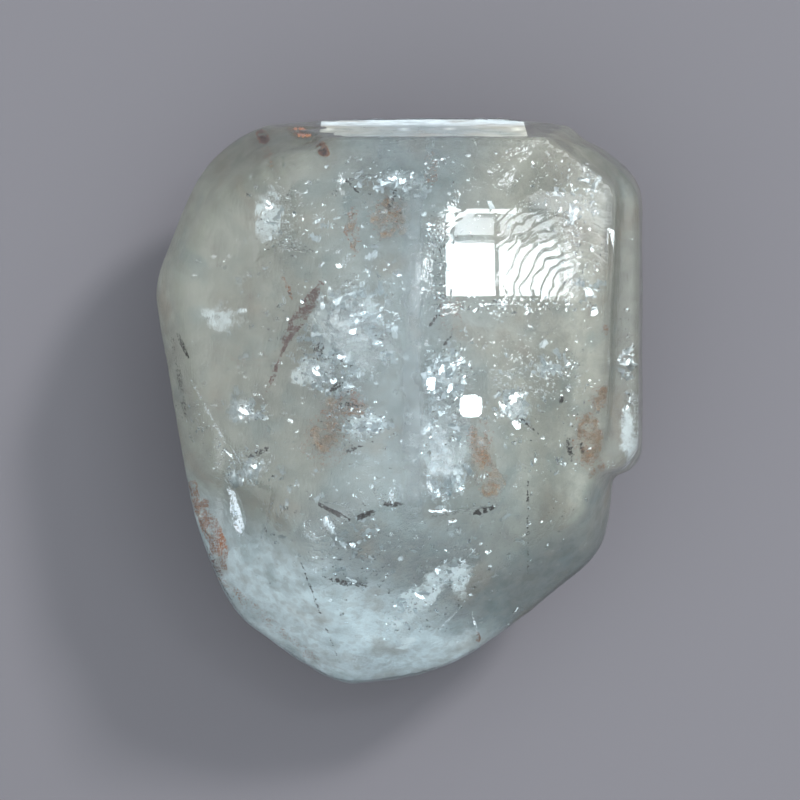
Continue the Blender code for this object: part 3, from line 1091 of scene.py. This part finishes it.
MILK_MIDDLE = (0.42, 0.485, 0.49, 1)
HAZE_MIDDLE = (0.31, 0.36, 0.375, 1)
MILK_LEFT = (0.41, 0.425, 0.375, 1)
MILK_RIGHT = (0.54, 0.55, 0.48, 1)
MILK_BRIGHT = (0.86, 0.95, 0.97, 1)
MILK_REGIONS = (  # each lies over those before it: (what it goes by, from and to in mm, colour)
    ("across", 14, 16.5, (0.36, 0.37, 0.335)),  # the ledge
    ("ragged", -6, -13, (0.24, 0.27, 0.27)),  # the foot
    ("slanted", -11.5, -18.5, (0.84, 0.96, 1.0)),  # the tip: its own bluish tone, whitened further as painted light
    ("along", 21.6, 22.2, (0.82, 0.94, 1.0)),  # painted reflection: pale blue behind and on the cleavage face
)
MILK_MOTTLES = (  # (noise's scale and detail, where in the noise it starts and is full, its share, colour)
    (330.0, 4.0, 0.50, 0.72, 0.55, (0.35, 0.30, 0.24)),  # warm
    (330.0, 4.0, 0.48, 0.28, 0.45, (0.23, 0.31, 0.32)),  # blue-green
    (1700.0, 1.0, 0.42, 0.66, 0.36, (0.25, 0.26, 0.24)),  # fine specks
)


def milk(name, middle, thin, thick, in_parts=False):
    """Cloud: greenish at the sides, bluish in the middle, whiter in the foot, partly as painted light, and
    painted pale blue behind the cleavage as its reflection.
    """
    mat, n, s = new_material(name)
    s.inputs["Roughness"].default_value = 0.6
    place = n.place()
    x, y, _ = n.axes(place)
    wander = n.times(n.less(n.clouds(place, DRIFT, 2.0), 0.5), 9 * MM)
    off_middle = n.plus(n.distance(x, 1 * MM), wander)
    olive = n.mix(n.ramp(x, -4 * MM, 8 * MM), MILK_LEFT, MILK_RIGHT)
    color = n.mix(n.ramp(off_middle, 1 * MM, 9 * MM), middle, olive)
    ways = {"across": x, "along": y, "ragged": n.plus(y, wander), "slanted": n.plus(y, n.times(x, 0.5))}
    for way, low, high, over in MILK_REGIONS:
        color = n.mix(n.ramp(ways[way], low * MM, high * MM), color, (*over, 1))
    for scale, detail, low, high, share, over in MILK_MOTTLES:
        color = n.mix(n.ramp(n.clouds(place, scale, detail), low, high, 0.0, share), color, (*over, 1))
    clouds = n.clouds(place, 850.0, 5.0, Roughness=0.70)
    cover = n.ramp(clouds, 0.33, 0.62, thin, thick)
    if in_parts:
        cover = n.times(cover, n.stored("strength"))
    else:
        broken = n.plus(n.stored("bright"), n.times(n.less(clouds, 0.5), 2.6))
        color = n.mix(n.ramp(broken, 0.35, 0.95), color, MILK_BRIGHT)
    n.put(color, s.inputs["Base Color"])
    n.put(cover, s.inputs["Alpha"])
    return mat


def film(name, colors, pitch, thin_and_thick):
    """A thin cloud with clumps and holes, that fades out towards each sheet's rim."""
    mat, n, s = new_material(name)
    s.inputs["Roughness"].default_value = 0.7
    place = n.place()
    clumps = n.ramp(n.clouds(place, 1 / pitch, 6.0, Roughness=0.65), 0.38, 0.72, *thin_and_thick)
    n.put(n.times(clumps, n.ramp(n.stored("strength"), 0.0, 0.5)), s.inputs["Alpha"])
    shades = n.ramp(n.clouds(place, 2.3 / pitch, 3.0), 0.35, 0.65)
    n.put(n.mix(shades, *((*color, 1) for color in colors)), s.inputs["Base Color"])
    return mat


# ---- the studio

SKY = (0.76, 1.32)  # how bright the sky is away from the glow and round it
CORE = 3.7  # how much brighter the glow's core is
CORE_EDGE = (30, 20)  # angles from its middle where the core starts and where it's full
FILL = (240, 60)  # a broad, gentler light from above the foot
FILL_STRENGTH = 1.6
FILL_REACH = (0.35, 0.97)  # the cosines of the angles from its middle where it starts and is full
SKY_COLOR = (0.92, 0.96, 1.0, 1)
PANE_COLOR = (0.90, 0.96, 1.0)
FLOOR_COLOR = (0.080, 0.078, 0.088)
KEY_DISTANCE = 0.9
KEY_SIZE = (0.12, 0.12)
KEY_RADIANCE = 260
KEY_COLOR = (1.0, 0.98, 0.95)
BOUNCES = {"max_bounces": 9, "transmission_bounces": 9, "glossy_bounces": 6, "diffuse_bounces": 2,
           "transparent_max_bounces": 10}
WINDOW_DISTANCE = 550 * MM
WINDOW_PANES = {  # the pixels that each pane is mirrored to (left, top, right, bottom) and its radiance
    "upper_left": ((453, 216, 494, 236), 9),
    "lower_left": ((453, 242, 494, 296), 20),
    "upper_right": ((499, 216, 562, 236), 8),
    "lower_right": ((499, 242, 562, 296), 18),
}


def area_light(name, where, target, size, radiance, color=(1, 1, 1)):
    data = bpy.data.lights.new(name, "AREA")
    data.shape = "RECTANGLE"
    data.size, data.size_y = size
    data.energy = radiance * math.pi * size[0] * size[1]
    data.color = color
    light = bpy.data.objects.new(name, data)
    bpy.context.scene.collection.objects.link(light)
    light.location = where
    light.rotation_euler = (Vector(target) - Vector(where)).to_track_quat("-Z", "Y").to_euler()
    return light


def add_window(sight, dome):
    """Panes of light, each where the domed face mirrors it to the camera."""
    for name, ((left, top, right, bottom), radiance) in WINDOW_PANES.items():
        pixels = ((left, top), (right, top), (right, bottom), (left, bottom))
        corners = [mirrored_by_dome(sight, dome, pixel, WINDOW_DISTANCE) for pixel in pixels]
        middle = sum(corners, Vector()) / 4
        across = (corners[1] + corners[2] - corners[0] - corners[3]) / 2
        down = (corners[2] + corners[3] - corners[0] - corners[1]) / 2
        away = middle - sight.surface(((left + right) / 2, (top + bottom) / 2))[0]
        side = (across - away * across.dot(away) / away.length_squared).normalized()
        frame_turn = Matrix((side, away.normalized().cross(side), away.normalized())).transposed()
        size = (across.length, down.length)
        pane = area_light(name, middle, middle - away, size, radiance, PANE_COLOR)
        pane.rotation_euler = frame_turn.to_euler()


def add_world():
    """Soft light from all round, brighter on one side, with a bright core there like a large softbox."""
    world = bpy.data.worlds.new("studio")
    world.use_nodes = True
    n = Nodes(world.node_tree)
    glow = n.toward(*GLOW)
    side = n.ramp(glow, 0.0, 0.95, *SKY)
    core = n.ramp(glow, *(math.cos(math.radians(angle)) for angle in CORE_EDGE), 0, CORE)
    fill = n.ramp(n.toward(*FILL), *FILL_REACH, 0, FILL_STRENGTH)
    back = world.node_tree.nodes["Background"]
    back.inputs["Color"].default_value = SKY_COLOR
    n.put(n.plus(n.plus(side, core), fill), back.inputs["Strength"])
    bpy.context.scene.world = world


def add_floor():
    bpy.ops.mesh.primitive_plane_add(size=3.0, location=(0, 0, -0.02 * MM))
    floor = bpy.context.object
    floor.name = "floor"
    floor.data.materials.append(plain("pale_floor", FLOOR_COLOR, 0.7))


def add_key():
    """The hard light of the floor's shadow and the frosted faces. The crystal doesn't mirror it."""
    where = unit(KEY[0], 90 - KEY[1]) * KEY_DISTANCE
    key = area_light("key", where, (0, 0, 0.01), KEY_SIZE, KEY_RADIANCE, KEY_COLOR)
    key.visible_glossy = False
    key.visible_transmission = False


def add_camera():
    data = bpy.data.cameras.new("camera")
    data.lens = LENS
    data.sensor_width = SENSOR
    data.clip_start = 0.01
    data.clip_end = 20
    camera = bpy.data.objects.new("camera", data)
    bpy.context.scene.collection.objects.link(camera)
    camera.location = (0, 0, CAMERA_HEIGHT)
    bpy.context.scene.camera = camera


def make_stone():
    """Makes the crystal. Returns (what is seen through it, its skin before the cracks, its dome)."""
    stone = even_mesh("topaz_crystal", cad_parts["rough_topaz"].data, VOXEL)
    fill_box(stone.data, CAD_BOX)
    dome = dome_frame(stone)
    shape_dome(stone, dome)
    sight = Sight(stone)
    sculpt(stone, sight)
    skin_shape = stone.data.copy()
    open_cracks(stone, sight)
    stone.data.materials.clear()
    stone.data.materials.append(topaz(sight.surface(CALM_AT)[0], sight.surface(ARCS_AT)[0]))
    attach(stone, "root")
    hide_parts("rough_topaz")
    return sight, skin_shape, dome


def add_insides(sight, skin_shape):
    """Stains, specks, crack walls, clouds and films. Sizes are in mm, and the last number is a seed."""
    grains("iron_stains", IRON_STAINS, sight, plain("iron_stain", (0.32, 0.135, 0.06), 0.6), 0.033, 5)
    grains("slivers", SLIVERS, sight, plain("sliver", (0.20, 0.115, 0.10), 0.6), 0.05, 6)
    grains("dark_specks", DARK_SPECKS, sight, plain("dark_speck", (0.02, 0.018, 0.015), 0.5), 0.06, 7)
    mirror = plain("crack_wall", (0.93, 0.97, 1.0), 0.08, Metallic=1)
    add_flakes("crack_glints", GLINTS, GLINT_SIZES, sight, mirror, 11)
    new_piece("bright_cracks", *bright_spots(sight), mirror)
    facet = plain("crack_facet", (0.82, 0.90, 0.94), 0.32, Metallic=1, Alpha=0.6)
    add_flakes("crack_facets", FACETS, FACET_SIZES, sight, facet, 12)
    add_milk(skin_shape, sight)
    add_haze(skin_shape)
    white = film("veil", ((0.80, 0.86, 0.88), (0.72, 0.80, 0.80)), 2.9 * MM, (0.22, 0.70))
    add_films("milky_veils", VEILS, sight, white, 50)
    bright = film("bright_veil", ((0.93, 0.98, 1.0), (0.80, 0.90, 0.95)), 0.9 * MM, (0.10, 1.0))
    add_films("bright_veils", BRIGHT_VEILS, sight, bright, 140)
    rust = film("rust", ((0.50, 0.29, 0.15), (0.36, 0.22, 0.12)), 0.8 * MM, (0.0, 0.66))
    add_films("rust_films", RUST_FILMS, sight, rust, 90)
    grains("white_veils", WHITE_VEILS, sight, plain("white_veil", (0.88, 0.96, 1.0), 0.6), 0.035, 8)


def set_bounces():
    """Light passes the skin, the films and the haze on its way to the heart, and again on its way out."""
    scene = bpy.context.scene
    scene.view_settings.view_transform = "Standard"
    for title, count in BOUNCES.items():
        setattr(scene.cycles, title, count)


def main():
    sight, skin_shape, dome = make_stone()
    add_insides(sight, skin_shape)
    add_floor()
    add_world()
    add_window(sight, dome)
    add_key()
    add_camera()
    set_bounces()


main()
